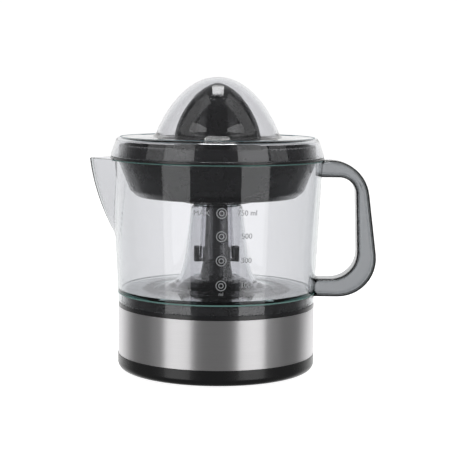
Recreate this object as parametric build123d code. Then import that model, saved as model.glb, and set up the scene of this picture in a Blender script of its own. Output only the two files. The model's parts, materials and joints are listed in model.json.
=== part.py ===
from build123d import *
import os
from math import cos, pi, radians, sin

# Citrus press juicer. Millimetres, +Z up, floor at height 0. Radii are about the spindle axis, and every
# piece is shaped about that axis, then moved by AXIS_X so that the origin is the middle of the footprint.

# ---- Driving dimensions ----
AXIS_X = -12.71  # the handle reaches further out than the spout, so the spindle axis isn't in the middle
BASE_R = 75.0  # outside of the steel sleeve and of the jug's skirt
COVER_TOP, SLEEVE_TOP, RING_TOP, PLINTH_TOP = 13.7, 50.2, 53.6, 60.0
PLINTH_R = 71.3
FOOT_H, FOOT_R, FOOT_PCR = 3.0, 7.0, 58.0
COVER_LOW, COVER_FLOOR, COVER_ROUND = 1.5, 4.0, 10.5
VENTS, VENT_STEP, VENT_W = 5, 6.0, 2.4
HUB_TOP, COLLAR_TOP, COLLAR_R = 84.0, 94.6, 10.6
JUG_RIM_R, JUG_RIM, JUG_WALL = 80.3, 162.2, 2.4
FLOOR_UNDER, FLOOR_TOP = 61.0, 64.0
CONE_TOP = 128.4
FLANGE_R, FLANGE_TOP = 81.4, 163.9
STRAINER_RIM, BASKET_SLOTS, BOWL_SLOTS = 172.3, 32, 16
# Reach and height of three points along the spout's keel
SPOUT_LOW, SPOUT_MID, SPOUT_TIP = (77.6, 103.0), (88.6, 129.0), (97.2, JUG_RIM)
HANDLE_TOP, HANDLE_FOOT, HANDLE_W, HANDLE_WALL = JUG_RIM, 58.0, 24.0, 2.2
GRIP_TOP, GRIP_FOOT = 149.1, 71.8  # the handle's finger gap lies between these heights
REAMER_FOOT, REAMER_WAIST, REAMER_TIP, REAMER_R = 150.0, 176.0, 219.6, 33.9
CAP_EDGE = 204.7  # where the large cone ends and the small cone's tip shows
RIDGES, FLUTE_ANGLE, FLUTE_DEPTH = 8, 33.0, 1.6
SHOULDER, SHOULDER_R, DOME_R, DOME_TOP, SHELL = 178.6, 75.3, 47.5, 224.0, 2.0

# Drive train
MODULE, OUTPUT_TEETH, IDLER_SMALL, IDLER_BIG, PINION_TEETH = 1.0, 56, 14, 42, 12
MESH_SLACK = 0.15
IDLER_X = -(OUTPUT_TEETH + IDLER_SMALL) * MODULE / 2 - MESH_SLACK
MOTOR_Y = (IDLER_BIG + PINION_TEETH) * MODULE / 2 + MESH_SLACK
GEARBOX = (-14.0, 8.0)
GEARBOX_R, GEARBOX_LOW, GEARBOX_FLOOR, GEARBOX_RIM, GEARBOX_TOP = 48.0, 31.0, 33.5, 50.0, 52.0
EAR_ANGLES, EAR_PCR, EAR_R = (30, 120, 210, 300), 51.0, 4.0
POST_ANGLES, POST_PCR, POST_R = (0, 65, 215, 290), 63.0, 4.0
SCREW_R, SCREW_HOLE, SCREW_FREE, HEAD_R, HEAD_H = 1.25, 1.3, 1.7, 3.0, 1.4
HUB_BORE = 7.05  # bore round the output gear's hubs
STATOR_LOW, STATOR_TOP, STATOR_R, STATOR_BORE = 10.0, 26.0, 21.0, 13.0
SHAFT_R, RUN_FIT = 2.0, 0.05
SPINDLE_R, SPINDLE_FLATS, SPINDLE_LOW, SPINDLE_TIP = 4.0, 6.8, 27.0, 118.0
THRUST_LOW, THRUST_TOP, BUSH_LOW, BUSH_TOP = 77.0, 80.0, 56.0, 62.0
SPRING_R, SPRING_WIRE, SPRING_TURNS = 5.5, 0.6, 5
LEVER_PIN_X, LEVER_PIN_Z, LEVER_END = 16.0, 25.5, -12.0
GLAND_Z, GLAND_BORE, GLAND_R = 30.0, 3.5, 5.0
TUBE_LOW, TUBE_R, TUBE_TOP_R = 88.0, 9.1, 8.1


# ---- Shapes ----
def turned(*stretches):
    """Solid of revolution. Each stretch is a list of (radius, height) points, or a curve."""
    edges = []
    for stretch in stretches:
        line = Polyline(*stretch) if isinstance(stretch, list) else stretch
        edges += line.edges()
    return revolve(Plane.XZ * make_face(edges), axis=Axis.Z)


def closed(*points):
    """Solid of revolution of one closed outline of straight lines."""
    return revolve(Plane.XZ * make_face(Polyline(*points, close=True)), axis=Axis.Z)


def rod(radius, low, high, x=0.0, y=0.0):
    return Pos(x, y, (low + high) / 2) * Cylinder(radius, high - low)


def ring(inner, outer, low, high, x=0.0, y=0.0):
    return rod(outer, low, high, x, y) - rod(inner, low, high, x, y)


def block(x0, x1, y0, y1, z0, z1):
    return Pos((x0 + x1) / 2, (y0 + y1) / 2, (z0 + z1) / 2) * Box(x1 - x0, y1 - y0, z1 - z0)


def hexagon(flats, low, high):
    return Pos(0, 0, low) * extrude(RegularPolygon(flats / 2, 6, major_radius=False), high - low)


def sector(middle, width, reach, low, high):
    """Wedge about the spindle axis, middle and width in degrees."""
    a, b = radians(middle - width / 2), radians(middle + width / 2)
    corners = [(0, 0), (reach * cos(a), reach * sin(a)), (reach * cos(b), reach * sin(b))]
    return Pos(0, 0, low) * extrude(make_face(Polyline(*corners, close=True)), high - low)


def around(angles, radius, centre=(0.0, 0.0)):
    """Places on a circle, angles in degrees."""
    return [(centre[0] + radius * cos(radians(a)), centre[1] + radius * sin(radians(a))) for a in angles]


def gear(teeth, low, high, turn):
    """Straight-cut gear whose teeth are thinned to run free. turn is the first tooth's angle."""
    pitch_r = teeth * MODULE / 2
    root, tip = pitch_r - 1.1 * MODULE, pitch_r + 0.8 * MODULE
    step = 2 * pi / teeth
    points = []
    for i in range(teeth):
        for radius, part in ((root, -0.26), (tip, -0.11), (tip, 0.11), (root, 0.26)):
            a = turn + (i + part) * step
            points.append((radius * cos(a), radius * sin(a)))
    return Pos(0, 0, low) * extrude(make_face(Polyline(*points, close=True)), high - low)


def meshing_turn(teeth, direction, teeth_before):
    """Turn of a gear that puts a gap where the gear before it, whose turn is 0, has a tooth."""
    step = 2 * pi / teeth
    return direction + pi - step * (0.5 - direction * teeth_before / (2 * pi))


def jug_radius(height):
    return BASE_R + (JUG_RIM_R - BASE_R) * (height - RING_TOP) / (JUG_RIM - RING_TOP)


def reamer_radius(height, inset=0.0):
    """Ogive above the waist, nearly straight below it."""
    if height <= REAMER_WAIST:
        return REAMER_R + 2.1 * (REAMER_WAIST - height) / (REAMER_WAIST - REAMER_FOOT) - inset
    t = (height - REAMER_WAIST) / (REAMER_TIP - REAMER_WAIST)
    return REAMER_R * max(0.0, 1 - t**1.68) ** 0.64 - inset


def dome_radius(height, inset=0.0):
    t = (height - SHOULDER) / (DOME_TOP - inset - SHOULDER)
    return (DOME_R - inset) * max(0.0, 1 - t**1.2) ** 0.48


def curve(radius_at, low, high, steps=10, **options):
    """Smooth meridian from low to high. The steps close up towards high, where an ogive turns fastest."""
    heights = [low + (high - low) * sin(pi / 2 * i / steps) for i in range(steps + 1)]
    return Spline(*[(radius_at(h, **options), h) for h in heights])


def cone_flare(inset=0.0, top=CONE_TOP, foot=FLOOR_TOP):
    """Meridian of the jug's centre cone, from the floor up."""
    flare = [(34.0, 67.0), (28.0, 73.0), (24.2, 87.0), (21.7, 106.0)]
    return Spline((44.0 - inset, foot), *[(r - inset, h - inset / 4) for r, h in flare], (19.0 - inset, top))


# ---- Base ----
def bottom_cover():
    rim = BASE_R + 0.4
    shell = turned(
        [(0, COVER_LOW), (rim - COVER_ROUND, COVER_LOW)],
        RadiusArc((rim - COVER_ROUND, COVER_LOW), (rim, COVER_LOW + COVER_ROUND), -COVER_ROUND),
        [(rim, COVER_LOW + COVER_ROUND), (rim, COVER_TOP), (71.5, COVER_TOP), (71.5, 18.0), (69.5, 18.0),
         (69.5, COVER_FLOOR), (0, COVER_FLOOR), (0, COVER_LOW)],
    )
    shell += rod(5.0, COVER_FLOOR, 9.0, IDLER_X, MOTOR_Y)
    shell -= rod(SHAFT_R + RUN_FIT, COVER_FLOOR + 0.5, 9.0, IDLER_X, MOTOR_Y)
    for x, y in around(range(45, 360, 90), FOOT_PCR):
        shell -= rod(FOOT_R + 0.1, COVER_LOW, FOOT_H, x, y)
    for x, y in around(POST_ANGLES, POST_PCR):
        shell -= rod(HEAD_R + 0.2, COVER_LOW, COVER_LOW + HEAD_H, x, y)
        shell -= rod(SCREW_FREE, COVER_LOW, COVER_FLOOR, x, y)
    for i in range(VENTS):
        y = VENT_STEP * (i - VENTS + 1)
        shell -= block(14.0, 40.0, y - VENT_W / 2, y + VENT_W / 2, COVER_LOW, COVER_FLOOR)
    return shell


def rubber_feet():
    return [rod(FOOT_R, 0, FOOT_H, x, y) for x, y in around(range(45, 360, 90), FOOT_PCR)]


def cover_screws():
    head_top = COVER_LOW + HEAD_H
    return [rod(HEAD_R, COVER_LOW, head_top, x, y) + rod(SCREW_R, head_top, 16.0, x, y)
            for x, y in around(POST_ANGLES, POST_PCR)]


def gland_hole():
    return Pos(0, BASE_R - 4, GLAND_Z) * Rot(90, 0, 0) * Cylinder(GLAND_R + 0.05, 14)


def steel_sleeve():
    return ring(BASE_R - 0.7, BASE_R, COVER_TOP, SLEEVE_TOP) - gland_hole()


def motor_housing():
    shell = closed(
        (7.0, HUB_TOP), (COLLAR_R, HUB_TOP), (12.5, 72.2), (20.0, 71.0), (25.0, 69.0), (30.0, 65.0),
        (38.0, PLINTH_TOP), (PLINTH_R, PLINTH_TOP), (PLINTH_R, RING_TOP), (BASE_R, RING_TOP),
        (BASE_R, SLEEVE_TOP), (74.2, SLEEVE_TOP), (74.2, 14.0), (71.7, 14.0), (71.7, 52.6), (68.8, 52.6),
        (68.8, 57.5), (37.0, 57.5), (29.0, 62.8), (24.0, 66.4), (12.0, 68.6), (12.0, BUSH_LOW),
        (7.0, BUSH_LOW))
    for x, y in around(POST_ANGLES, POST_PCR):
        shell += rod(POST_R, 4.0, 58.0, x, y)
        shell -= rod(SCREW_HOLE, 4.0, 16.5, x, y)
    for x, y in around(EAR_ANGLES, EAR_PCR, GEARBOX):
        shell += rod(EAR_R, GEARBOX_TOP, 58.0, x, y)
        shell -= rod(SCREW_HOLE, GEARBOX_TOP, 57.0, x, y)
    return shell - gland_hole()


def hub_collar():
    """Ring round the shaft's foot, with two shoes that steer the jug's inner sleeve, each on a thin web."""
    body = ring(7.0, COLLAR_R, HUB_TOP, COLLAR_TOP) - rod(9.6, HUB_TOP + 1.2, COLLAR_TOP)
    for middle in (4, 184):
        web = ring(COLLAR_R - 0.5, 17.4, HUB_TOP, HUB_TOP + 1.4)
        shoe = ring(14.4, 17.4, HUB_TOP, COLLAR_TOP + 0.4)
        body += (web + shoe) & sector(middle, 46, 40, HUB_TOP - 1, COLLAR_TOP + 2)
    return body


def cord_gland():
    tube = Cylinder(GLAND_R, 12.0)
    gland = Pos(0, 72.0, GLAND_Z) * Rot(90, 0, 0) * tube
    gland += Pos(0, 76.5, GLAND_Z) * Rot(90, 0, 0) * Cylinder(GLAND_R + 1.8, 3.0)
    gland += Pos(0, 67.5, GLAND_Z) * Rot(90, 0, 0) * Cylinder(GLAND_R + 1.2, 3.0)
    return gland - Pos(0, 72.0, GLAND_Z) * Rot(90, 0, 0) * Cylinder(GLAND_BORE, 20.0)


# ---- Motor and gearbox ----
def motor_stator():
    return ring(STATOR_BORE, STATOR_R, STATOR_LOW, STATOR_TOP, IDLER_X, MOTOR_Y)


def motor_winding():
    return [ring(13.6, 17.4, low, high, IDLER_X, MOTOR_Y)
            for low, high in ((5.8, STATOR_LOW), (STATOR_TOP, 30.4))]


def motor_rotor():
    turn = meshing_turn(PINION_TEETH, pi / 2, IDLER_BIG)
    pinion = gear(PINION_TEETH, 34.5, 40.6, turn)
    core = rod(STATOR_BORE - 0.6, STATOR_LOW, STATOR_TOP) + rod(SHAFT_R, 5.0, 41.0)
    return Pos(IDLER_X, MOTOR_Y, 0) * (core + pinion)


def gearbox_ears(low, high):
    return [rod(EAR_R, low, high, x, y) for x, y in around(EAR_ANGLES, EAR_PCR, GEARBOX)]


def gearbox_screw_holes(radius, low, high):
    return [rod(radius, low, high, x, y) for x, y in around(EAR_ANGLES, EAR_PCR, GEARBOX)]


def gearbox_housing():
    cup = rod(GEARBOX_R, GEARBOX_LOW, GEARBOX_RIM, *GEARBOX) + gearbox_ears(44.0, GEARBOX_RIM)
    cup -= rod(GEARBOX_R - 2.5, GEARBOX_FLOOR, GEARBOX_RIM, *GEARBOX)
    cup -= gearbox_screw_holes(SCREW_FREE, 44.0, GEARBOX_RIM)
    cup -= rod(HUB_BORE, GEARBOX_LOW, GEARBOX_FLOOR)
    cup -= rod(SHAFT_R, GEARBOX_LOW + 0.5, GEARBOX_FLOOR, IDLER_X, 0)
    cup -= rod(SHAFT_R + RUN_FIT, GEARBOX_LOW, GEARBOX_FLOOR, IDLER_X, MOTOR_Y)
    for x, y in around(range(45, 360, 90), 19.3, (IDLER_X, MOTOR_Y)):
        cup += rod(1.5, STATOR_TOP, GEARBOX_LOW, x, y)
    for side in (-1, 1):
        y0, y1 = sorted((side * 3.5, side * 6.0))
        cup += block(LEVER_PIN_X - 2.5, LEVER_PIN_X + 2.5, y0, y1, LEVER_PIN_Z - 2.5, GEARBOX_LOW)
    return cup - lever_bore(1.0, 6.0)


def lever_bore(radius, half_length):
    return Pos(LEVER_PIN_X, 0, LEVER_PIN_Z) * Rot(90, 0, 0) * Cylinder(radius, 2 * half_length)


def gearbox_cover():
    plate = rod(GEARBOX_R, GEARBOX_RIM, GEARBOX_TOP, *GEARBOX) + gearbox_ears(GEARBOX_RIM, GEARBOX_TOP)
    plate -= gearbox_screw_holes(SCREW_FREE, GEARBOX_RIM, GEARBOX_TOP)
    plate -= rod(HUB_BORE, GEARBOX_RIM, GEARBOX_TOP)
    return plate - rod(SHAFT_R, GEARBOX_RIM, GEARBOX_TOP - 0.5, IDLER_X, 0)


def gearbox_screws():
    return [rod(HEAD_R, 44.0 - HEAD_H, 44.0, x, y) + rod(SCREW_R, 44.0, 56.5, x, y)
            for x, y in around(EAR_ANGLES, EAR_PCR, GEARBOX)]


def idler_axle():
    return rod(SHAFT_R, GEARBOX_LOW + 0.5, GEARBOX_TOP - 0.5, IDLER_X, 0)


def idler_gear():
    turn = meshing_turn(IDLER_SMALL, pi, OUTPUT_TEETH)
    wheel = gear(IDLER_BIG, 36.0, 40.0, 0.0) + gear(IDLER_SMALL, 40.0, 48.0, turn) + rod(4.5, 33.8, 49.6)
    return Pos(IDLER_X, 0, 0) * (wheel - rod(SHAFT_R + RUN_FIT, 33.0, 50.0))


def output_gear():
    wheel = gear(OUTPUT_TEETH, 41.5, 47.5, 0.0) + rod(9.0, 33.6, 49.8) + rod(7.0, 31.5, GEARBOX_TOP - 0.2)
    return wheel - hexagon(SPINDLE_FLATS + 0.1, 31.0, 54.0)


def spindle_bush():
    return ring(SPINDLE_R + 0.03, 7.0, BUSH_LOW, BUSH_TOP)


def drive_spindle():
    return (hexagon(SPINDLE_FLATS, SPINDLE_LOW, 54.5) + rod(SPINDLE_R, 54.5, HUB_TOP)
            + rod(6.2, THRUST_TOP + 0.1, 82.0) + hexagon(SPINDLE_FLATS, HUB_TOP, SPINDLE_TIP))


def thrust_ring():
    return ring(SPINDLE_R + 0.1, 6.8, THRUST_LOW, THRUST_TOP)


def return_spring():
    height = THRUST_LOW - BUSH_TOP - 2 * SPRING_WIRE - 0.2
    coil = Helix(height / SPRING_TURNS, height, SPRING_R)
    wire = Plane(coil @ 0, z_dir=coil % 0) * Circle(SPRING_WIRE)
    return Pos(0, 0, BUSH_TOP + SPRING_WIRE + 0.1) * sweep(wire, path=coil)


def switch_lever():
    bar = block(LEVER_END, LEVER_PIN_X, -3.0, 3.0, 24.5, 26.1) + lever_bore(2.2, 3.0)
    return bar - lever_bore(1.0 + RUN_FIT, 4.0)


def lever_pin():
    return lever_bore(1.0, 6.0)


def microswitch():
    return block(-16.0, -4.0, -3.2, 3.2, 4.0, 20.0) - rod(1.2, 17.5, 20.0, LEVER_END + 1.5, 0)


def switch_plunger():
    return rod(1.1, 18.8, 21.2, LEVER_END + 1.5, 0)


# ---- Jug ----
def spout_section(reach, height, inset):
    """Plan of the spout at one height: a blunt-tipped wedge whose sides run on into the wall."""
    nose = 1.6
    wall = jug_radius(height)
    tip = reach - inset
    side = wall * (1 - (wall / reach) ** 2) ** 0.5 - inset
    back = wall * wall / reach
    points = [(-tip, -nose), (-tip, nose), (-back, max(side, nose + 0.4)), (-back + 12, 0),
              (-back, -max(side, nose + 0.4))]
    return Pos(0, 0, height) * make_face(Polyline(*points, close=True))


def spout(inset=0.0, lift=0.0):
    keel = ThreePointArc(SPOUT_LOW, SPOUT_MID, SPOUT_TIP)
    sections = []
    for i in range(6):
        place = keel @ (0.08 + 0.92 * i / 5)
        height = min(place.Y + lift, JUG_RIM + lift)
        sections.append(spout_section(max(place.X, jug_radius(place.Y) + 0.8), height, inset))
    return loft(sections, ruled=True)


def jug_cavity():
    """The space inside the wall, from the floor up past the rim."""
    low, high = FLOOR_TOP, JUG_RIM + 5.0
    return closed(
        (0, low), (jug_radius(low) - JUG_WALL, low), (jug_radius(high) - JUG_WALL, high), (0, high))


def jug_envelope():
    return closed((0, RING_TOP), (BASE_R, RING_TOP), (JUG_RIM_R, JUG_RIM), (0, JUG_RIM))


def jug():
    wall = jug_envelope() + spout()
    wall -= jug_cavity()
    wall -= spout(inset=JUG_WALL, lift=2.0) & rod(120, 100, JUG_RIM + 4)
    wall -= rod(BASE_R - 2.1, RING_TOP, FLOOR_UNDER)
    sleeve_in, sleeve_foot = (10.4, CONE_TOP), (12.0, 86.5)
    cone = turned(
        cone_flare(),
        [(19.0, CONE_TOP), sleeve_in, sleeve_foot, (13.2, 86.5), (11.8, 126.2), (16.8, 126.2)],
        cone_flare(2.2, 126.2, FLOOR_UNDER),
        [(41.8, FLOOR_UNDER), (44.0, FLOOR_UNDER), (44.0, FLOOR_TOP)])
    return wall - rod(43.9, RING_TOP, FLOOR_TOP + 1) + cone


def handle_outline(points, radii):
    """Face in the XZ plane with a round of its own at each corner that has one."""
    face = make_face(Polyline(*points, close=True))
    for place, radius in zip(points, radii):
        if radius:
            corner = min(face.vertices(), key=lambda v: (Vector(v.X, v.Y) - Vector(*place)).length)
            face = fillet(corner, radius)
    return Plane.XZ * face


def jug_handle():
    outside = handle_outline(
        [(70, HANDLE_TOP), (112.2, HANDLE_TOP), (126.7, HANDLE_FOOT), (70, HANDLE_FOOT)], (0, 30, 34, 0))
    gap = handle_outline(
        [(55, GRIP_TOP), (105.0, GRIP_TOP), (107.5, GRIP_FOOT), (55, GRIP_FOOT)], (0, 13, 20, 0))
    loop = extrude(outside, HANDLE_W / 2, both=True) - extrude(gap, HANDLE_W, both=True)
    hollow = extrude(offset(outside, -HANDLE_WALL), HANDLE_W / 2 - HANDLE_WALL, both=True)
    hollow -= extrude(offset(gap, HANDLE_WALL), HANDLE_W, both=True)
    return loop - hollow - jug_envelope()


# ---- Bowl, strainer, reamer and cover ----
def pulp_bowl():
    """Bowl that hangs in the jug's rim. Its centre boss carries a disc that caps the jug's centre cone."""
    bowl = closed(
        (FLANGE_R, JUG_RIM), (FLANGE_R, FLANGE_TOP), (73.4, FLANGE_TOP), (72.8, 160.0), (64.6, 141.0),
        (60.5, 135.6), (13.0, 135.6), (13.0, 141.5), (10.4, 141.5), (10.4, 129.2), (26.5, 129.2),
        (26.5, 131.0), (14.5, 131.0), (14.0, 133.5), (61.5, 133.5), (66.4, 138.5), (74.9, 160.0), (75.2, JUG_RIM))
    slot = block(22.0, 52.0, -1.4, 1.4, 133.0, 136.5)
    slots = [Rot(0, 0, 360 / BOWL_SLOTS * i) * slot for i in range(BOWL_SLOTS)]
    return bowl - slots


def strainer_insert():
    basket = closed(
        (75.2, FLANGE_TOP), (75.2, 166.0), (74.6, STRAINER_RIM), (71.0, STRAINER_RIM), (70.2, 160.0),
        (61.6, 141.2), (58.6, 139.4), (13.6, 139.4), (13.6, 137.4), (59.6, 137.4), (63.2, 140.6),
        (72.2, 160.0), (72.6, FLANGE_TOP))
    slot = block(20.0, 54.0, -0.7, 0.7, 137.0, 140.0)
    slots = [Rot(0, 0, 360 / BASKET_SLOTS * i) * slot for i in range(BASKET_SLOTS)]
    return basket - slots


def thrust_washer():
    return ring(TUBE_TOP_R + 0.2, 13.0, 145.0, 146.0)


def reamer_shaft():
    tube = closed(
        (0, TUBE_LOW), (TUBE_R, TUBE_LOW), (TUBE_R, 96.0), (TUBE_TOP_R, 128.0), (TUBE_TOP_R, 146.0),
        (15.0, 146.0), (15.0, 148.5), (0, 148.5))
    tube += hexagon(12.0, 148.5, 185.0)
    return tube - hexagon(SPINDLE_FLATS + 0.1, TUBE_LOW, SPINDLE_TIP + 0.3)


def large_cone():
    wall = 2.8
    cone = turned(
        [(reamer_radius(REAMER_FOOT) - wall, REAMER_FOOT), (reamer_radius(REAMER_FOOT), REAMER_FOOT)],
        curve(reamer_radius, REAMER_FOOT, CAP_EDGE),
        [(reamer_radius(CAP_EDGE), CAP_EDGE), (reamer_radius(CAP_EDGE) - wall, CAP_EDGE)],
        curve(reamer_radius, REAMER_FOOT, CAP_EDGE, inset=wall))
    skin = turned(
        [(reamer_radius(REAMER_FOOT) - FLUTE_DEPTH, REAMER_FOOT), (60.0, REAMER_FOOT), (60.0, CAP_EDGE),
         (reamer_radius(CAP_EDGE) - FLUTE_DEPTH, CAP_EDGE)],
        curve(reamer_radius, REAMER_FOOT, CAP_EDGE, inset=FLUTE_DEPTH))
    step = 360 / RIDGES
    flutes = [sector(step * i, FLUTE_ANGLE, 70, REAMER_FOOT - 1, CAP_EDGE + 1) for i in range(RIDGES)]
    return cone - [skin & flute for flute in flutes]


def small_cone():
    """Its tip stands flush in the large cone's opening, and its body fills the space underneath."""
    neck = reamer_radius(CAP_EDGE) - 3.2
    return turned(
        [(0, 186.0), (0, REAMER_TIP)],
        curve(reamer_radius, CAP_EDGE, REAMER_TIP),
        [(reamer_radius(CAP_EDGE), CAP_EDGE), (neck, CAP_EDGE)],
        Spline((neck, CAP_EDGE), (25.0, 182.0), (28.0, 150.0)),
        [(28.0, 150.0), (25.6, 150.0)],
        Spline((25.6, 150.0), (22.0, 178.0), (14.0, 190.0)),
        [(14.0, 190.0), (11.0, 190.0), (11.0, 149.0), (7.2, 149.0), (7.2, 186.0), (0, 186.0)])


def dust_cover():
    inner_rim = FLANGE_R - 2.2
    return turned(
        [(inner_rim, FLANGE_TOP), (FLANGE_R, FLANGE_TOP), (SHOULDER_R + 1.4, SHOULDER - 3.0)],
        Spline((SHOULDER_R + 1.4, SHOULDER - 3.0), (SHOULDER_R, SHOULDER - 0.9),
               (SHOULDER_R - 3.0, SHOULDER)),
        [(SHOULDER_R - 3.0, SHOULDER), (DOME_R, SHOULDER)],
        curve(dome_radius, SHOULDER, DOME_TOP),
        [(0, DOME_TOP), (0, DOME_TOP - SHELL)],
        curve(dome_radius, SHOULDER, DOME_TOP - SHELL, inset=SHELL),
        [(DOME_R - SHELL, SHOULDER), (DOME_R - SHELL, SHOULDER - SHELL),
         (SHOULDER_R - 3.6, SHOULDER - SHELL), (SHOULDER_R - 0.1, SHOULDER - 3.4), (inner_rim, FLANGE_TOP)])


NODES = [
    bottom_cover, rubber_feet, cover_screws, steel_sleeve, motor_housing, hub_collar, cord_gland,
    motor_stator, motor_winding, motor_rotor, gearbox_housing, gearbox_cover, gearbox_screws, idler_axle,
    idler_gear, output_gear, spindle_bush, drive_spindle, thrust_ring, return_spring, switch_lever,
    lever_pin, microswitch, switch_plunger, jug, jug_handle, pulp_bowl, strainer_insert, thrust_washer,
    reamer_shaft, large_cone, small_cone, dust_cover,
]

os.makedirs("parts", exist_ok=True)
for make in NODES:
    shape = make()
    solids = shape if isinstance(shape, list) else shape.solids()
    pieces = [solid for piece in solids for solid in piece.solids()]
    node = Compound(pieces) if len(pieces) > 1 else pieces[0]
    export_step(Pos(AXIS_X, 0, 0) * node, f"parts/{make.__name__}.step")
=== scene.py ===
import json
import math

import bmesh
import bpy
from mathutils import Matrix, Vector


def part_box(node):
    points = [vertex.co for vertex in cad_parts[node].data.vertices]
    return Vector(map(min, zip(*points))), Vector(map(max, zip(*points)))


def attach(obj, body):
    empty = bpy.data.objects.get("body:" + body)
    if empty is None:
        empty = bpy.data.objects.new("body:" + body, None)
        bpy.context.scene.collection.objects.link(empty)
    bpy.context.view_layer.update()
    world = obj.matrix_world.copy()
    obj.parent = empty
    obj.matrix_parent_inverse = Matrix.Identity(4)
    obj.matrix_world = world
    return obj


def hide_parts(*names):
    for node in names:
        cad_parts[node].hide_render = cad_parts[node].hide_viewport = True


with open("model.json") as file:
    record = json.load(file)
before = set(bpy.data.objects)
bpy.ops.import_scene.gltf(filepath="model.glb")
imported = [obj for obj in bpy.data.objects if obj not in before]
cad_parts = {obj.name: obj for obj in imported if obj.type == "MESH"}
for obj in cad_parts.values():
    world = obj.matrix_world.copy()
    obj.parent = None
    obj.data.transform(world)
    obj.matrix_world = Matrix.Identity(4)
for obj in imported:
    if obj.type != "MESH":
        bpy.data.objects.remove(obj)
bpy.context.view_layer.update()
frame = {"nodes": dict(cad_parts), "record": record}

MM = 0.001


# ---- Places and sizes, in millimetres, read from the frame ----
def low_high(node):
    low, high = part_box(node)
    return low / MM, high / MM


SLEEVE_LOW, SLEEVE_HIGH = low_high("steel_sleeve")
AXIS_X = (SLEEVE_LOW.x + SLEEVE_HIGH.x) / 2
BASE_R = (SLEEVE_HIGH.x - SLEEVE_LOW.x) / 2
JUG_LOW, JUG_HIGH = low_high("jug")
RING_TOP, RIM, RIM_R = JUG_LOW.z, JUG_HIGH.z, JUG_HIGH.y
SPOUT_REACH = AXIS_X - JUG_LOW.x
HANDLE_LOW, HANDLE_HIGH = low_high("jug_handle")
BOWL_LOW, BOWL_HIGH = low_high("pulp_bowl")
STRAINER_HIGH = low_high("strainer_insert")[1]
CONE_LOW = low_high("large_cone")[0]
TIP = low_high("small_cone")[1].z
COVER_LOW, COVER_HIGH = low_high("dust_cover")
HOUSING_TOP = low_high("motor_housing")[1].z
WALL = 2.4
FRONT = math.radians(-90)
SPOUT_FOOT = 103.0
SPOUT_HALF = math.radians(20.5)  # half the angle that the spout takes of the wall, at the rim
PLINTH_R, PLINTH_TOP = 71.3, 60.0
JUG_FLOOR, JUG_FLOOR_UNDER = 64.0, 61.0
CONE_TOP, CONE_TOP_R = 128.4, 19.0  # the jug's centre cone
SHOULDER, SHOULDER_R, DOME_R = 178.6, 75.3, 47.5  # the dust cover's


# ---- Mesh helpers ----
def new_object(name, verts, faces, smooth=True):
    mesh = bpy.data.meshes.new(name)
    mesh.from_pydata([(x * MM, y * MM, z * MM) for x, y, z in verts], [], faces)
    bm = bmesh.new()
    bm.from_mesh(mesh)
    bmesh.ops.remove_doubles(bm, verts=bm.verts, dist=1e-7)
    bmesh.ops.recalc_face_normals(bm, faces=bm.faces)
    bm.to_mesh(mesh)
    bm.free()
    for polygon in mesh.polygons:
        polygon.use_smooth = smooth
    piece = bpy.data.objects.new(name, mesh)
    bpy.context.scene.collection.objects.link(piece)
    return piece


def weighted(piece):
    """Flat stretches keep flat shading beside their rounded corners."""
    modifier = piece.modifiers.new("normals", "WEIGHTED_NORMAL")
    modifier.weight = 80
    return piece


def rounded(points, steps=4):
    """Closed outline of (radius, height[, corner radius]) points, with an arc where there is a radius."""
    outline = []
    count = len(points)
    for i, point in enumerate(points):
        here = Vector(point[:2])
        radius = point[2] if len(point) > 2 else 0.0
        before, after = Vector(points[i - 1][:2]), Vector(points[(i + 1) % count][:2])
        if not radius:
            outline.append(tuple(here))
            continue
        a, b = (before - here).normalized(), (after - here).normalized()
        half = a.angle(b) / 2
        cut = min(radius / math.tan(half), (before - here).length * 0.49, (after - here).length * 0.49)
        radius = cut * math.tan(half)
        centre = here + (a + b).normalized() * (radius / math.sin(half))
        start, end = here + a * cut - centre, here + b * cut - centre
        turn = math.atan2(start.x * end.y - start.y * end.x, start.dot(end))
        for step in range(steps + 1):
            outline.append(tuple(centre + Matrix.Rotation(turn * step / steps, 2) @ start))
    return outline


def flowing(points, steps=8):
    """Smooth open curve through (radius, height) points."""
    vectors = [Vector(p) for p in points]
    ends = [vectors[0] * 2 - vectors[1]] + vectors + [vectors[-1] * 2 - vectors[-2]]
    curve = []
    for i in range(1, len(ends) - 2):
        p0, p1, p2, p3 = ends[i - 1:i + 3]
        for step in range(steps):
            t = step / steps
            curve.append(tuple(0.5 * (2 * p1 + (p2 - p0) * t + (2 * p0 - 5 * p1 + 4 * p2 - p3) * t * t
                                      + (3 * p1 - p0 - 3 * p2 + p3) * t ** 3)))
    return curve + [tuple(vectors[-1])]


def divided(outline, longest):
    """The closed outline with its long stretches cut into shorter ones."""
    result = []
    for i, point in enumerate(outline):
        here, after = Vector(point), Vector(outline[(i + 1) % len(outline)])
        pieces = max(1, math.ceil((after - here).length / longest))
        result += [tuple(here.lerp(after, k / pieces)) for k in range(pieces)]
    return result


def lathe(name, outline, turns=160, shape=None, angles=None):
    """Turns a closed (radius, height) outline about the spindle axis.

    shape(angle, radius, height) may move a point.
    """
    angles = angles or [2 * math.pi * i / turns for i in range(turns)]
    verts, faces = [], []
    count = len(outline)
    for angle in angles:
        for radius, height in outline:
            if shape:
                radius, height = shape(angle, radius, height)
            verts.append((AXIS_X + radius * math.cos(angle), radius * math.sin(angle), height))
    for i in range(len(angles)):
        j = (i + 1) % len(angles)
        for k in range(count):
            l = (k + 1) % count
            if outline[k][0] < 1e-6 and outline[l][0] < 1e-6:
                continue
            corners = [i * count + k, j * count + k, j * count + l, i * count + l]
            if outline[k][0] < 1e-6:
                corners.pop(1)
            elif outline[l][0] < 1e-6:
                corners.pop(2)
            faces.append(corners)
    return new_object(name, verts, faces)


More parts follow.
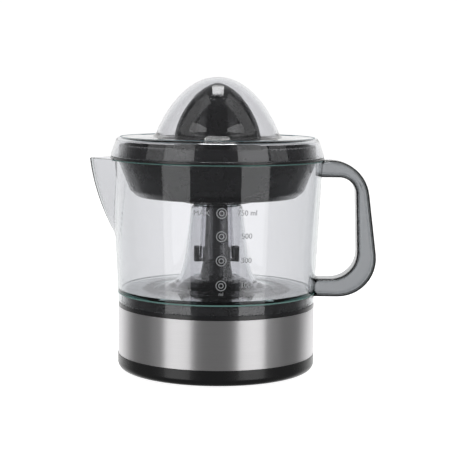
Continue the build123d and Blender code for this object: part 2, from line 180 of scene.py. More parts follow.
def box_verts(x0, x1, y0, y1, z0, z1, turn=0.0):
    """Corners and faces of a block, turned about the spindle axis."""
    c, s = math.cos(turn), math.sin(turn)
    verts = [(AXIS_X + x * c - y * s, x * s + y * c, z)
             for x in (x0, x1) for y in (y0, y1) for z in (z0, z1)]
    return verts, [(0, 1, 3, 2), (4, 6, 7, 5), (0, 4, 5, 1), (2, 3, 7, 6), (0, 2, 6, 4), (1, 5, 7, 3)]


def joined(blocks):
    verts, faces = [], []
    for block_verts, block_faces in blocks:
        faces += [[i + len(verts) for i in face] for face in block_faces]
        verts += block_verts
    return verts, faces


def cut(piece, blocks):
    """Cuts the blocks out of the piece, for good."""
    tool = new_object("tool", *joined(blocks), smooth=False)
    modifier = piece.modifiers.new("cut", "BOOLEAN")
    modifier.object = tool
    modifier.operation = "DIFFERENCE"
    modifier.solver = "EXACT"
    graph = bpy.context.evaluated_depsgraph_get()
    done = bpy.data.meshes.new_from_object(piece.evaluated_get(graph))
    piece.modifiers.clear()
    piece.data = done
    bpy.data.objects.remove(tool)
    return piece


def finish_piece(piece, body, material, slot, *nodes):
    piece.data.materials.clear()
    piece.data.materials.append(material)
    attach(piece, body)
    if nodes:
        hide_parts(*nodes)
    return piece


# ---- Materials ----
class Nodes:
    """A material's node tree with short ways to add to it."""

    def __init__(self, name):
        self.material = bpy.data.materials.new(name)
        self.material.use_nodes = True
        self.tree = self.material.node_tree
        self.shader = self.tree.nodes["Principled BSDF"]
        self.output = self.tree.nodes["Material Output"]

    def add(self, kind, **inputs):
        node = self.tree.nodes.new(kind)
        for key, value in inputs.items():
            node.inputs[key.replace("_", " ")].default_value = value
        return node

    def link(self, source, target):
        self.tree.links.new(source, target)

    def noise(self, scale, detail=3.0, stretch=(1, 1, 1), roughness=0.55):
        place = self.add("ShaderNodeMapping")
        place.inputs["Scale"].default_value = stretch
        self.link(self.add("ShaderNodeTexCoord").outputs["Object"], place.inputs["Vector"])
        noise = self.add("ShaderNodeTexNoise", Scale=scale, Detail=detail, Roughness=roughness)
        self.link(place.outputs["Vector"], noise.inputs["Vector"])
        return noise.outputs["Fac"]

    def ramp(self, factor, low, high, start=0.3, end=0.7):
        """Two colours, or two greys, spread over part of the factor's range."""
        ramp = self.add("ShaderNodeValToRGB")
        for element, place, value in zip(ramp.color_ramp.elements, (start, end), (low, high)):
            element.position = place
            element.color = (*value, 1) if isinstance(value, tuple) else (value, value, value, 1)
        self.link(factor, ramp.inputs["Fac"])
        return ramp.outputs["Color"]

    def bump(self, factor, distance, strength=1.0, before=None):
        bump = self.add("ShaderNodeBump", Strength=strength, Distance=distance)
        self.link(factor, bump.inputs["Height"])
        if before:
            self.link(before, bump.inputs["Normal"])
        self.link(bump.outputs["Normal"], self.shader.inputs["Normal"])
        return bump.outputs["Normal"]


def moulded(name, low, high, rough, grain=1800.0, grain_depth=2e-6, coat=0.0, see_through=0.0):
    """Injection-moulded plastic: slight clouding of colour and gloss, faint ripple, fine surface grain."""
    n = Nodes(name)
    n.link(n.ramp(n.noise(38.0), low, high), n.shader.inputs["Base Color"])
    n.link(n.ramp(n.noise(90.0, 4.0), rough[0], rough[1]), n.shader.inputs["Roughness"])
    ripple = n.bump(n.noise(55.0, 1.0), 6e-5, 0.35)
    n.bump(n.noise(grain, 2.0), grain_depth, 0.5, ripple)
    n.shader.inputs["IOR"].default_value = 1.5
    n.shader.inputs["Coat Weight"].default_value = coat
    n.shader.inputs["Transmission Weight"].default_value = see_through
    n.shader.inputs["Coat Roughness"].default_value = 0.05
    return n.material


def brushed(name, low, high, stretch, rough=(0.2, 0.32), anisotropy=0.0, turn=0.0):
    """Brushed metal: the grain runs where stretch is small."""
    n = Nodes(name)
    grain = n.noise(60.0, 5.0, stretch, 0.7)
    n.link(n.ramp(grain, low, high, 0.25, 0.75), n.shader.inputs["Base Color"])
    n.link(n.ramp(n.noise(25.0, 4.0, stretch), rough[0], rough[1]), n.shader.inputs["Roughness"])
    n.shader.inputs["Metallic"].default_value = 1.0
    n.shader.inputs["Anisotropic"].default_value = anisotropy
    n.shader.inputs["Anisotropic Rotation"].default_value = turn
    if anisotropy:
        tangent = n.add("ShaderNodeTangent")
        tangent.direction_type = "RADIAL"
        tangent.axis = "Z"
        n.link(tangent.outputs["Tangent"], n.shader.inputs["Tangent"])
    n.bump(grain, 4e-6, 0.35)
    return n.material


def clear(name, tint, edge, density, rough=(0.0, 0.02), ripple=5e-5, lamp_tint=0.85):
    """Clear moulded plastic. Its depth tints it, so that edges seen along the wall turn green-blue.

    The lamps' light passes it as through tinted film, so that what stands behind it is lit.
    """
    n = Nodes(name)
    paler = tuple(min(1.0, c * 1.01) for c in tint)
    n.link(n.ramp(n.noise(30.0), tint, paler), n.shader.inputs["Base Color"])
    n.link(n.ramp(n.noise(70.0, 3.0), rough[0], rough[1]), n.shader.inputs["Roughness"])
    n.bump(n.noise(34.0, 1.5), ripple, 0.25)
    n.shader.inputs["IOR"].default_value = 1.49
    n.shader.inputs["Transmission Weight"].default_value = 1.0
    absorb = n.add("ShaderNodeVolumeAbsorption", Color=(*edge, 1), Density=density)
    n.link(absorb.outputs["Volume"], n.output.inputs["Volume"])
    through = n.add("ShaderNodeBsdfTransparent", Color=(lamp_tint, lamp_tint, lamp_tint, 1))
    mix = n.add("ShaderNodeMixShader")
    n.link(n.add("ShaderNodeLightPath").outputs["Is Shadow Ray"], mix.inputs["Fac"])
    n.link(n.shader.outputs["BSDF"], mix.inputs[1])
    n.link(through.outputs["BSDF"], mix.inputs[2])
    n.link(mix.outputs["Shader"], n.output.inputs["Surface"])
    return n.material


# Grey that the handle absorbs far more densely than the jug's tint, so that the handle comes out darker and
# greyer than the jug.
HANDLE_GREY = (0.20, 0.24, 0.25)
TEAL = (0.05, 0.36, 0.34)  # what is left of white after a long way through the clear plastic
GLOSS_BLACK = moulded("gloss_black", (0.006, 0.006, 0.008), (0.011, 0.011, 0.013), (0.20, 0.32),
                      coat=0.5)
CONE_BLACK = moulded("cone_black", (0.003, 0.003, 0.004), (0.006, 0.006, 0.007), (0.22, 0.32),
                     coat=0.1)
SATIN_BLACK = moulded("satin_black", (0.012, 0.012, 0.014), (0.022, 0.022, 0.025), (0.34, 0.46),
                      grain_depth=6e-6)
BASE_BLACK = moulded("base_black", (0.006, 0.006, 0.007), (0.011, 0.011, 0.012), (0.20, 0.30), coat=0.2)
RUBBER = moulded("rubber", (0.020, 0.020, 0.020), (0.036, 0.036, 0.036), (0.65, 0.85), 900.0, 1.2e-5)
ACETAL = moulded("acetal", (0.60, 0.58, 0.52), (0.70, 0.69, 0.64), (0.32, 0.48))
STEEL = brushed("brushed_steel", (0.80, 0.79, 0.80), (0.92, 0.91, 0.92), (1, 1, 260), (0.36, 0.44),
                1.0, 0.25)
ZINC = brushed("zinc_steel", (0.46, 0.46, 0.45), (0.62, 0.62, 0.60), (1, 1, 30), (0.25, 0.4))
LAMINATED = brushed("laminated_steel", (0.16, 0.16, 0.17), (0.34, 0.34, 0.35), (1, 1, 90), (0.35, 0.5))
COPPER = brushed("copper_wire", (0.55, 0.22, 0.10), (0.80, 0.40, 0.22), (1, 1, 70), (0.3, 0.42))
BRONZE = brushed("sintered_bronze", (0.36, 0.25, 0.13), (0.52, 0.38, 0.22), (20, 20, 20), (0.4, 0.6))
CLEAR_JUG = clear("clear_jug", (0.935, 0.922, 0.940), TEAL, 22.0)
# Dense grey absorption: darkens the handle well beyond the jug's clear plastic.
CLEAR_HANDLE = clear("clear_handle", (0.985, 0.975, 0.99), HANDLE_GREY, 300.0)
CLEAR_COVER = clear("clear_cover", (0.93, 0.925, 0.94), (0.18, 0.26, 0.30), 40.0, ripple=2e-5)
# Painted edge light: a green-blue surface colour standing in for the light seen along the jug's clear wall
# at its edges.
PAINTED_EDGE_LIGHT = moulded("painted_edge_light", (0.24, 0.50, 0.45), (0.32, 0.58, 0.53), (0.25, 0.4), see_through=0.3)
# Painted edge light for the cover: a darker green-blue surface colour standing in for the light seen along
# the cover's clear wall.
PAINTED_LID_EDGE_LIGHT = moulded("painted_lid_edge_light", (0.07, 0.22, 0.28), (0.11, 0.28, 0.34), (0.25, 0.4), see_through=0.3)
FROSTED = moulded("frosted_marks", (0.62, 0.63, 0.65), (0.74, 0.75, 0.77), (0.35, 0.5), see_through=0.35)


# ---- Camera, light and floor ----
def camera():
    """Seen from the front, a little above, from about a metre away."""
    data = bpy.data.cameras.new("camera")
    data.lens = 105.9
    data.sensor_width = 36.0
    data.clip_start = 0.05
    view = bpy.data.objects.new("camera", data)
    aside, away, height = 9.7, 1027.5, 221.0
    tilt_down, roll = 0.1096, 0.0095
    view.matrix_world = (Matrix.Translation(Vector((AXIS_X + aside, -away, height)) * MM)
                         @ Matrix.Rotation(math.pi / 2 - tilt_down, 4, "X")
                         @ Matrix.Rotation(roll, 4, "Z"))
    bpy.context.scene.collection.objects.link(view)
    bpy.context.scene.camera = view


def softbox(name, azimuth, elevation, distance, width, height, brightness):
    """Area light turned towards the object. Azimuth 0 is at the camera's side of the object."""
    data = bpy.data.lights.new(name, "AREA")
    data.shape = "RECTANGLE"
    data.size, data.size_y = width, height
    data.energy = brightness * math.pi * width * height
    lamp = bpy.data.objects.new(name, data)
    a, e = math.radians(azimuth), math.radians(elevation)
    target = Vector((AXIS_X * MM, 0, 0.12))
    towards = Vector((math.sin(a) * math.cos(e), -math.cos(a) * math.cos(e), math.sin(e)))
    place = target + distance * towards
    facing = (target - place).to_track_quat("-Z", "Y")
    lamp.matrix_world = Matrix.Translation(place) @ facing.to_matrix().to_4x4()
    lamp.visible_camera = False
    bpy.context.scene.collection.objects.link(lamp)


def studio():
    """White where it is seen directly or through clear plastic. Reflections find it dark in front."""
    white, dark = 1.02, 0.16
    world = bpy.data.worlds.new("studio")
    world.use_nodes = True
    tree = world.node_tree
    place = tree.nodes.new("ShaderNodeTexCoord")
    split = tree.nodes.new("ShaderNodeSeparateXYZ")
    tree.links.new(place.outputs["Generated"], split.inputs[0])
    depth = tree.nodes.new("ShaderNodeMapRange")
    depth.interpolation_type = "SMOOTHSTEP"
    for name, value in (("From Min", 0.3), ("From Max", 0.95), ("To Min", dark), ("To Max", white)):
        depth.inputs[name].default_value = value
    tree.links.new(split.outputs["Y"], depth.inputs["Value"])
    path = tree.nodes.new("ShaderNodeLightPath")
    bounces = tree.nodes.new("ShaderNodeMath")
    tree.links.new(path.outputs["Glossy Depth"], bounces.inputs[0])
    tree.links.new(path.outputs["Diffuse Depth"], bounces.inputs[1])
    bounced = tree.nodes.new("ShaderNodeMath")
    bounced.operation = "GREATER_THAN"
    bounced.inputs[1].default_value = 0.5
    tree.links.new(bounces.outputs[0], bounced.inputs[0])
    strength = tree.nodes.new("ShaderNodeMix")
    strength.inputs["A"].default_value = white
    tree.links.new(bounced.outputs[0], strength.inputs["Factor"])
    tree.links.new(depth.outputs["Result"], strength.inputs["B"])
    backdrop = tree.nodes["Background"]
    backdrop.inputs["Color"].default_value = (1, 1, 1, 1)
    tree.links.new(strength.outputs["Result"], backdrop.inputs["Strength"])
    world.cycles.sampling_method = "NONE"
    bpy.context.scene.world = world
    softbox("left_box", -44, 10, 1.6, 0.95, 2.5, 1.15)
    softbox("right_box", 42, 10, 1.6, 0.95, 2.5, 1.20)
    softbox("left_high_box", -74, 48, 1.6, 0.6, 1.7, 0.6)
    softbox("right_high_box", 74, 48, 1.6, 0.6, 1.7, 0.6)
    softbox("back_box", 180, 80, 1.4, 0.4, 0.5, 5.0)
    bpy.context.scene.view_settings.view_transform = "Standard"


def floor():
    """White for the camera. Lamps and reflections pass it, as if the object stood on a lit glass table."""
    half = 3000.0
    corners = [(-half, -half, 0), (half, -half, 0), (half, half, 0), (-half, half, 0)]
    plane = new_object("floor", corners, [(0, 1, 2, 3)], smooth=False)
    n = Nodes("pale_floor")
    n.link(n.ramp(n.noise(3.0), (0.80, 0.80, 0.80), (0.84, 0.84, 0.84)), n.shader.inputs["Base Color"])
    n.shader.inputs["Roughness"].default_value = 0.9
    n.shader.inputs["Emission Color"].default_value = (1, 1, 1, 1)
    n.shader.inputs["Emission Strength"].default_value = 0.95
    n.material.cycles.emission_sampling = "NONE"
    plane.data.materials.append(n.material)
    plane.visible_glossy = plane.visible_diffuse = False
    plane.visible_transmission = plane.visible_shadow = False


# ---- Base ----
def base_shell():
    low, inside, top = 1.5, 4.0, SLEEVE_LOW.z
    outer, corner = BASE_R + 0.4, 10.5
    spigot_r, spigot_inner, spigot_top = 71.5, 69.5, 18.0
    outline = rounded([(0, low), (outer, low, corner), (outer, top, 0.4), (spigot_r, top, 0.3),
                       (spigot_r, spigot_top), (spigot_inner, spigot_top), (spigot_inner, inside),
                       (0, inside)], 8)
    cover = lathe("base_cover", outline, 180)
    vent_count, vent_step, vent_width, first_vent = 5, 6, 2.4, -25.2
    vents = []
    for i in range(vent_count):
        side = first_vent + vent_step * i
        vents.append(box_verts(14.0, 40.0, side, side + vent_width, low - 0.5, inside + 0.5))
    finish_piece(weighted(cut(cover, vents)), "base", BASE_BLACK, "black_satin", "bottom_cover")

    inner = BASE_R - 0.7
    bottom, upper = SLEEVE_LOW.z, SLEEVE_HIGH.z
    outline = rounded([(inner, bottom), (BASE_R, bottom, 0.35), (BASE_R, upper, 0.35), (inner, upper)])
    sleeve = lathe("steel_band", outline, 240)
    finish_piece(weighted(sleeve), "base", STEEL, "brushed_steel", "steel_sleeve")


def housing():
    """Ring over the steel, plinth inside the jug's skirt, and the dome and hub under its centre cone."""
    hub = [(7.0, HOUSING_TOP), (10.6, HOUSING_TOP, 0.4), (12.4, 73.4, 1.0), (13.4, 72.6, 0.5),
           (13.4, 71.6, 0.5)]
    dome = [(20.0, 71.0, 3.0), (25.0, 69.0, 3.0), (30.0, 65.0, 4.0), (38.0, PLINTH_TOP, 4.0)]
    plinth = [(PLINTH_R, PLINTH_TOP, 0.8), (PLINTH_R, RING_TOP, 0.3)]
    ring = [(BASE_R, RING_TOP, 0.5), (BASE_R, SLEEVE_HIGH.z, 0.2), (74.2, SLEEVE_HIGH.z)]
    skirt_inside = [(74.2, 14.0), (71.7, 14.0), (71.7, 52.6), (68.8, 52.6), (68.8, 57.5)]
    dome_inside = [(37.0, 57.5), (29.0, 62.8), (24.0, 66.4), (12.0, 68.6), (12.0, 56.0), (7.0, 56.0)]
    outline = rounded(hub + dome + plinth + ring + skirt_inside + dome_inside)
    body = lathe("housing_shell", outline, 180)
    finish_piece(weighted(body), "base", GLOSS_BLACK, "black_gloss", "motor_housing")
    first, step = 8, 30
    ribs = [box_verts(PLINTH_R - 0.3, PLINTH_R + 0.5, -0.7, 0.7, RING_TOP + 0.1, PLINTH_TOP - 0.9,
                      math.radians(degrees))
            for degrees in range(first, first + 360, step)]
    rib_ring = new_object("plinth_ribs", *joined(ribs), smooth=False)
    rib_ring.modifiers.new("edges", "BEVEL").width = 0.2 * MM
    finish_piece(rib_ring, "base", GLOSS_BLACK, "black_gloss")


# ---- Jug ----
def wall_radius(height):
    return BASE_R + (RIM_R - BASE_R) * (height - RING_TOP) / (RIM - RING_TOP)


def spout_reach(height):
    """The keel leaves the wall low down, and steepens towards the lip."""
    t = max(0.0, (height - SPOUT_FOOT) / (RIM - SPOUT_FOOT))
    return wall_radius(height) + (SPOUT_REACH - RIM_R) * (1.75 * t - 0.75 * t * t)


def with_spout(angle, radius, height):
    """Draws the upper wall out into a wedge at -X, whose flat sides meet the wall in a crease."""
    wall = wall_radius(height)
    reach = spout_reach(height)
    if reach <= wall + 0.01 or radius < wall - 3 * WALL:
        return radius, height
    half = SPOUT_HALF * min(1.0, (height - SPOUT_FOOT) / (RIM - SPOUT_FOOT) * 1.4) ** 0.6
    off = abs(angle - math.pi)
    if off >= half:
        return radius, height
    nose = 0.035  # how blunt the lip is, as an angle
    off = (math.hypot(off, nose) - nose) * half / (math.hypot(half, nose) - nose)
    out, aside = wall * math.sin(half), reach - wall * math.cos(half)
    length = math.hypot(out, aside)
    facing = (out * math.cos(off) + aside * math.sin(off)) / length
    return (reach * out / length - (wall - radius)) / facing, height


CONE_FLARE = [(44.0, JUG_FLOOR), (34.0, 67.0), (28.0, 73.0), (24.2, 87.0), (21.7, 106.0),
              (CONE_TOP_R, CONE_TOP)]


def jug():
    skirt_inner, floor_r, floor_corner_r = 72.9, 73.1, 3.0
    cone_wall = 2.2
    sleeve_r, sleeve_foot = 10.4, 86.5  # the tube that hangs inside the centre cone
    under_top = CONE_TOP - cone_wall
    flare = flowing(CONE_FLARE)
    inner_flare = [(r - cone_wall, h - 0.6) for r, h in flare[2:-1]] + [(CONE_TOP_R - cone_wall, under_top)]
    shell = rounded([(skirt_inner, RING_TOP, 0.3), (BASE_R, RING_TOP, 0.5), (RIM_R, RIM, 0.7),
                     (RIM_R - WALL, RIM, 0.7), (floor_r, JUG_FLOOR, floor_corner_r)], 5)
    sleeve = rounded([(CONE_TOP_R, CONE_TOP, 0.6), (sleeve_r, CONE_TOP, 0.4),
                      (sleeve_r + 1.6, sleeve_foot, 0.3), (sleeve_r + 2.8, sleeve_foot, 0.3),
                      (sleeve_r + 1.4, under_top, 0.5), (CONE_TOP_R - cone_wall, under_top, 0.5)])
    floor_corner = rounded([(41.8, JUG_FLOOR_UNDER, 1.5), (skirt_inner, JUG_FLOOR_UNDER, 0.5),
                            (skirt_inner, RING_TOP)], 3)[:-1]
    outline = (shell[:-1] + [(floor_r - floor_corner_r, JUG_FLOOR)] + flare[:-1] + sleeve[:-3]
               + inner_flare[::-1] + floor_corner)
    outline = divided(outline, 4.0)
    spout_side = range(140, 220)
    degrees = [d for d in range(360) if d in spout_side or d % 2 == 0]
    angles = [math.radians(d) for d in degrees]
    body = lathe("jug_shell", outline, shape=with_spout, angles=angles)
    finish_piece(weighted(body), "jug", CLEAR_JUG, "clear_plastic", "jug")


def handle_rail(top, bottom, lean_top, lean_bottom, round_top, round_bottom, start):
    """Points along one side of the handle: three straight stretches, with an arc at each corner."""
    def dense(a, b, count):
        return [tuple(Vector(a).lerp(Vector(b), i / count)) for i in range(count)]
    corners = [(0, top), (lean_top, top, round_top), (lean_bottom, bottom, round_bottom), (0, bottom)]
    arc_steps, arm_steps, grip_steps = 12, 6, 12
    path = rounded(corners, arc_steps)
    middle = 2 + arc_steps
    first_arc, second_arc = path[1:middle], path[middle:middle + arc_steps + 1]
    return (dense((start, top), first_arc[0], arm_steps) + first_arc[:-1]
            + dense(first_arc[-1], second_arc[0], grip_steps) + second_arc[:-1]
            + dense(second_arc[-1], (start, bottom), arm_steps) + [(start, bottom)])


def handle():
    """Hollow loop whose two ends are bonded to the wall."""
    start = 76.0
    outer = handle_rail(RIM, HANDLE_LOW.z, 112.2, 125.6, 30.0, 29.0, start)
    inner = handle_rail(149.1, 71.8, 105.0, 107.5, 13.0, 20.0, start)
    width = (HANDLE_HIGH.y - HANDLE_LOW.y) / 2
    shell, corner_steps = 2.2, 5
    verts, faces = [], []
    rings = []
    for inset, corner in ((0.0, 4.5), (shell, 2.6)):
        for o, i in zip(outer, inner):
            o, i = Vector(o), Vector(i)
            out, middle = (o - i).normalized(), (o + i) / 2
            half = (o - i).length / 2 - inset
            across = width - inset
            ring = []
            for qx, qy in ((1, 1), (-1, 1), (-1, -1), (1, -1)):
                turn0 = math.atan2(qy, qx) - math.pi / 4
                for step in range(corner_steps + 1):
                    a = turn0 + math.pi / 2 * step / corner_steps
                    u = qx * (half - corner) + corner * math.cos(a)
                    v = qy * (across - corner) + corner * math.sin(a)
                    place = middle + out * u
                    ring.append((place.x, v, place.y))
            rings.append(ring)
    stations, count = len(outer), len(rings[0])
    for index, ring in enumerate(rings):
        at_wall = index % stations in (0, stations - 1)
        for x, y, z in ring:
            if at_wall:
                x = math.sqrt(wall_radius(z) ** 2 - y * y) + 0.05
            verts.append((AXIS_X + x, y, z))
    for shell_index in (0, 1):
        for s in range(stations - 1):
            for k in range(count):
                l = (k + 1) % count
                a = (shell_index * stations + s) * count
                b = a + count
                faces.append((a + k, a + l, b + l, b + k))
    for s in (0, stations - 1):
        for k in range(count):
            l = (k + 1) % count
            a, b = s * count, (stations + s) * count
            faces.append((a + k, a + l, b + l, b + k))
    loop = new_object("handle_loop", verts, faces)
    finish_piece(weighted(loop), "jug", CLEAR_HANDLE, "clear_plastic", "jug_handle")


def on_wall(piece, azimuth, height, lift):
    """Wraps a flat piece, drawn in X and Z about zero in metres, round the jug's wall."""
    for vertex in piece.data.vertices:
        x, y, z = vertex.co / MM
        radius = wall_radius(height + z) + lift - y
        angle = azimuth + x / wall_radius(height)
        vertex.co = Vector((AXIS_X + radius * math.cos(angle), radius * math.sin(angle), height + z)) * MM
    return piece


MARKS = ((127.9, "750 ml"), (111.3, "500"), (93.8, "300"), (75.8, "100"))
MARK_RINGS = ((1.3, 1.95), (3.2, 3.8))


def level_marks():
    """A target of two raised rings at each level, with its number beside it."""
    azimuth = FRONT + math.radians(3.0)
    raised, corner = 0.35, 0.15
    for height, words in MARKS:
        verts, faces = [], []
        for inner, outer in MARK_RINGS:
            start, steps = len(verts), 48
            section = rounded([(inner, 0.0), (inner, -raised, corner), (outer, -raised, corner),
                               (outer, 0.0)], 2)
            for i in range(steps):
                a = 2 * math.pi * i / steps
                verts += [(r * math.cos(a), depth, r * math.sin(a)) for r, depth in section]
            for i in range(steps):
                for k in range(len(section)):
                    j, l = (i + 1) % steps, (k + 1) % len(section)
                    faces.append([start + i * len(section) + k, start + j * len(section) + k,
                                  start + j * len(section) + l, start + i * len(section) + l])
        name = words.split()[0]
        ring = on_wall(new_object("mark_" + name, verts, faces), azimuth, height, 0.05)
        finish_piece(ring, "jug", FROSTED, "clear_plastic")
        lettering("number_" + name, words, azimuth + math.radians(13.5), height)
    lettering("word_max", "MAX", azimuth - math.radians(10.5), MARKS[0][0])
    lettering("unit", "ml", azimuth, MARKS[-1][0] - 6.2, 3.6)


def lettering(name, words, azimuth, height, size=5.4):
    curve = bpy.data.curves.new(name, "FONT")
    curve.body = words
    curve.size = size * MM
    curve.extrude = 0.15 * MM
    curve.align_x, curve.align_y = "CENTER", "CENTER"
    text = bpy.data.objects.new(name + "_flat", curve)
    bpy.context.scene.collection.objects.link(text)
    graph = bpy.context.evaluated_depsgraph_get()
    mesh = bpy.data.meshes.new_from_object(text.evaluated_get(graph))
    bpy.data.objects.remove(text)
    mesh.transform(Matrix.Rotation(math.pi / 2, 4, "X"))
    piece = bpy.data.objects.new(name, mesh)
    bpy.context.scene.collection.objects.link(piece)
    finish_piece(on_wall(piece, azimuth, height, 0.2), "jug", FROSTED, "clear_plastic")


def painted_edge_band(name, body, material, slot, radius, height, depth, thick):
    """Painted band at the cut edge of a clear wall: the green-blue that light takes on along the plastic's
    depth is painted on as a surface colour.
    """
    inner, top, corner = radius - depth, height + thick, 0.2
    section = rounded([(inner, height, corner), (radius, height, corner), (radius, top, corner),
                       (inner, top, corner)], 3)
    finish_piece(lathe(name, section, 180), body, material, slot)


# ---- Bowl and strainer ----
def slots_round(count, near, far, half_width, low, high):
    """Radial slots, evenly spaced."""
    return [box_verts(near, far, -half_width, half_width, low, high, math.radians(360 / count * i))
            for i in range(count)]


def bowl():
    outer, top, bottom = BOWL_HIGH.y, BOWL_HIGH.z, BOWL_LOW.z
    floor_top, floor_low = 135.6, 133.5
    boss_r, boss_bore, boss_top = 13.0, 10.4, 141.5
    disc_r, disc_top = 26.5, 131.0  # the disc that caps the jug's centre cone
    rim = [(outer, RIM, 0.4), (outer, top, 0.6), (73.4, top, 0.4)]
    inside = [(72.8, 160.0, 2.0), (64.6, 141.0, 3.0), (60.5, floor_top, 4.0)]
    boss = [(boss_r, floor_top, 1.0), (boss_r, boss_top, 0.5), (boss_bore, boss_top, 0.5),
            (boss_bore, bottom, 0.3)]
    disc = [(disc_r, bottom, 0.5), (disc_r, disc_top, 0.5), (14.5, disc_top, 0.3)]
    outside = [(14.0, floor_low, 0.5), (60.5, floor_low, 5.0), (66.4, 138.5, 6.0), (74.9, 160.0, 2.0),
               (75.2, RIM)]
    shell = lathe("bowl_shell", rounded(rim + inside + boss + disc + outside, 6), 180)
    slots = slots_round(16, 22.0, 52.0, 1.4, floor_low - 1.5, floor_top + 1.4)
    finish_piece(weighted(cut(shell, slots)), "bowl", GLOSS_BLACK, "black_gloss", "pulp_bowl")


def strainer():
    top, outer, seat = STRAINER_HIGH.z, STRAINER_HIGH.y, BOWL_HIGH.z
    floor_top, floor_low, hole_r = 139.4, 137.4, 13.6
    teeth, tooth_depth = 120, 1.1

    def serrated(angle, radius, height):
        if height > top - 0.35 and radius > 70.5:
            wave = abs((angle * teeth / (2 * math.pi)) % 1.0 - 0.5) * 2
            if wave < 0.45:
                height -= tooth_depth
        return radius, height

    rim = [(outer, seat, 0.2), (outer, 166.0, 1.0), (74.6, top, 0.25), (71.0, top, 0.25)]
    inside = [(70.2, 160.0, 2.0), (61.6, 141.2, 2.0), (58.6, floor_top, 1.5), (hole_r, floor_top, 0.5)]
    outside = [(hole_r, floor_low, 0.5), (59.6, floor_low, 1.5), (63.2, 140.6, 2.0), (72.2, 160.0, 2.0),
               (72.6, seat)]
    basket = lathe("strainer_basket", rounded(rim + inside + outside, 3), teeth * 4, serrated)
    slots = slots_round(32, 20.0, 54.0, 0.7, floor_low - 0.9, floor_top + 1.1)
    finish_piece(weighted(cut(basket, slots)), "strainer", GLOSS_BLACK, "black_gloss", "strainer_insert")


# ---- Reamer ----
WAIST, WAIST_R = 176.0, 33.9
RIDGES, RIDGE_HALF = 8, math.radians(6.0)


def ogive(height):
    if height <= WAIST:
        return WAIST_R + 2.1 * (WAIST - height) / (WAIST - CONE_LOW.z)
    t = (height - WAIST) / (TIP - WAIST)
    return WAIST_R * max(0.0, 1 - t ** 1.68) ** 0.64


def cap_edge(angle):
    """Height of the large cone's opening: four arches that meet in cusps."""
    cusp, rise = 202.0, 6.8
    return cusp + rise * abs(math.cos(2 * angle)) ** 0.6


def fluted(angle, height):
    """Radius of the large cone, whose ridges stand between hollow flutes."""
    step = 2 * math.pi / RIDGES
    off = (angle - FRONT) % step
    from_ridge = abs(off - step / 2) - RIDGE_HALF
    hollow = 0.0
    if from_ridge > 0:
        hollow = math.sin(math.pi / 2 * min(1.0, from_ridge / (step / 2 - RIDGE_HALF))) ** 0.55
    depth = 1.0 + 0.9 * min(1.0, (TIP - height) / 40.0)
    return ogive(height) - depth * hollow


def cone_angles():
    """Close together at the ridges' edges, and wider apart in the flutes."""
    step = 2 * math.pi / RIDGES
    flute = step - 2 * RIDGE_HALF
    half_ridge = (0.45, 0.9, 1.0)
    half_flute = (0.01, 0.03, 0.07, 0.13, 0.2, 0.28, 0.36, 0.44)
    across_flute = half_flute + (0.5,) + tuple(1 - f for f in half_flute)
    angles = []
    for ridge in range(RIDGES):
        middle = ridge * step + step / 2 + FRONT
        angles.append(middle)
        angles += [middle + side * RIDGE_HALF * f for f in half_ridge for side in (-1, 1)]
        angles += [middle + RIDGE_HALF + flute * f for f in across_flute]
    return sorted(a % (2 * math.pi) for a in angles)


def large_cone():
    angles, rows, wall = cone_angles(), 40, 2.6
    verts, faces = [], []
    for angle in angles:
        edge = cap_edge(angle)
        heights = [CONE_LOW.z + (edge - CONE_LOW.z) * i / rows for i in range(rows + 1)]
        column = [(fluted(angle, height), height) for height in heights]
        column.append((ogive(edge) - wall, edge))
        column += [(ogive(height) - wall, height) for height in reversed(heights)]
        verts += [(AXIS_X + r * math.cos(angle), r * math.sin(angle), h) for r, h in column]
    count = len(verts) // len(angles)
    for i in range(len(angles)):
        j = (i + 1) % len(angles)
        for k in range(count):
            l = (k + 1) % count
            faces.append([i * count + k, j * count + k, j * count + l, i * count + l])
    cone = new_object("cone_shell", verts, faces)
    finish_piece(weighted(cone), "reamer", CONE_BLACK, "black_gloss", "large_cone")


def small_cone():
    """Its tip fills the large cone's opening and carries fine ribs that run to a point."""
    turns, rows, ribs, rib_height = 192, 26, 24, 0.16
    inside_top = 190.0
    body = [(26.0, 180.0), (28.0, 151.0), (25.6, 151.0), (22.0, 178.0), (12.0, inside_top)]
    verts, faces = [(AXIS_X, 0, TIP)], []
    for i in range(turns):
        angle = 2 * math.pi * i / turns
        edge = cap_edge(angle) + 0.12
        column = []
        for k in range(1, rows + 1):
            along = k / rows
            height = TIP - (TIP - edge) * math.sin(math.pi / 2 * along) ** 1.6
            fade = min(1.0, 6 * (1 - along) * along)
            rib = rib_height * max(0.0, math.cos(ribs * angle)) ** 6 * fade
            column.append((max(0.05, ogive(height) - 0.05 + rib), height))
        column += [(ogive(edge) - 2.4, edge - 0.3), (ogive(edge) - 3.0, edge - 2.0)] + body
        verts += [(AXIS_X + r * math.cos(angle), r * math.sin(angle), h) for r, h in column]
    count = len(column)
    verts.append((AXIS_X, 0, inside_top))
    for i in range(turns):
        j = (i + 1) % turns
        a, b = 1 + i * count, 1 + j * count
        faces.append([0, a, b])
        faces += [[a + k, a + k + 1, b + k + 1, b + k] for k in range(count - 1)]
        faces.append([a + count - 1, len(verts) - 1, b + count - 1])
    tip = new_object("cone_tip", verts, faces)
    finish_piece(weighted(tip), "reamer", CONE_BLACK, "black_gloss", "small_cone")


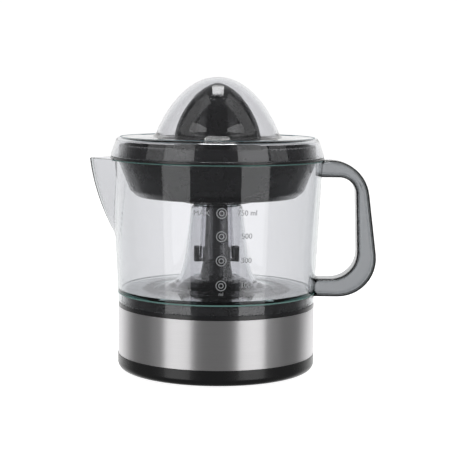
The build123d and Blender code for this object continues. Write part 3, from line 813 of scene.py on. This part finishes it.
# ---- Cover ----
def cover():
    """A skirt, a flat shoulder and a dome over the cone."""
    wall, rim_wall = 2.0, 2.2
    rim_r, rim, top = COVER_HIGH.y, COVER_LOW.z, COVER_HIGH.z
    under = SHOULDER - wall

    def dome(inset, steps=24):
        points = []
        for i in range(steps + 1):
            t = math.sin(math.pi / 2 * i / steps)
            radius = (DOME_R - inset) * max(0.0, 1 - t ** 1.2) ** 0.48
            points.append((radius, SHOULDER + (top - inset - SHOULDER) * t))
        return points

    skirt = rounded([(rim_r - rim_wall, rim, 0.4), (rim_r, rim, 0.6), (SHOULDER_R + 1.0, SHOULDER, 3.6),
                     (DOME_R + 3.0, SHOULDER)], 8)[:-1]
    inner = rounded([(DOME_R + 1.0, under), (SHOULDER_R - 0.4, under, 2.0), (rim_r - rim_wall, rim)], 6)
    outline = skirt + [(DOME_R + 2.0, SHOULDER)] + dome(0.0)[1:] + dome(wall)[::-1][:-1] + inner[:-1]
    piece = lathe("cover_shell", outline, 200)
    finish_piece(weighted(piece), "cover", CLEAR_COVER, "clear_cover", "dust_cover")


# ---- CAD pieces that stay as they are ----
FINISHES = {
    "rubber": RUBBER, "black_satin": SATIN_BLACK, "black_gloss": GLOSS_BLACK, "zinc_steel": ZINC,
    "laminated_steel": LAMINATED, "copper_wire": COPPER, "gear_plastic": ACETAL, "bronze": BRONZE,
    "brushed_steel": STEEL, "clear_plastic": CLEAR_JUG, "clear_cover": CLEAR_COVER,
}


def dress_cad():
    for part in frame["record"]["subparts"]:
        piece = frame["nodes"][part["node"]]
        material = FINISHES[part["material_slot"]]
        if piece.material_slots:
            for slot in piece.material_slots:
                slot.material = material
        else:
            piece.data.materials.append(material)


camera()
studio()
floor()
dress_cad()
base_shell()
housing()
jug()
handle()
level_marks()
# Painted green-blue bands at the jug's floor edge and lip, standing in for the light seen along the clear
# wall.
painted_edge_band("floor_painted_edge_light", "jug", PAINTED_EDGE_LIGHT, "clear_plastic", BASE_R + 0.5, JUG_FLOOR_UNDER - 0.4, 1.6, 0.9)
painted_edge_band("lip_painted_edge_light", "jug", PAINTED_EDGE_LIGHT, "clear_plastic", RIM_R + 0.06, RIM - 1.0, 1.2, 0.7)
# Painted green-blue band at the cover's shoulder edge, standing in for the light seen along its clear wall.
painted_edge_band("shoulder_painted_edge_light", "cover", PAINTED_LID_EDGE_LIGHT, "clear_cover", SHOULDER_R - 1.3, SHOULDER - 0.4, 1.2, 0.55)
bowl()
strainer()
large_cone()
small_cone()
cover()
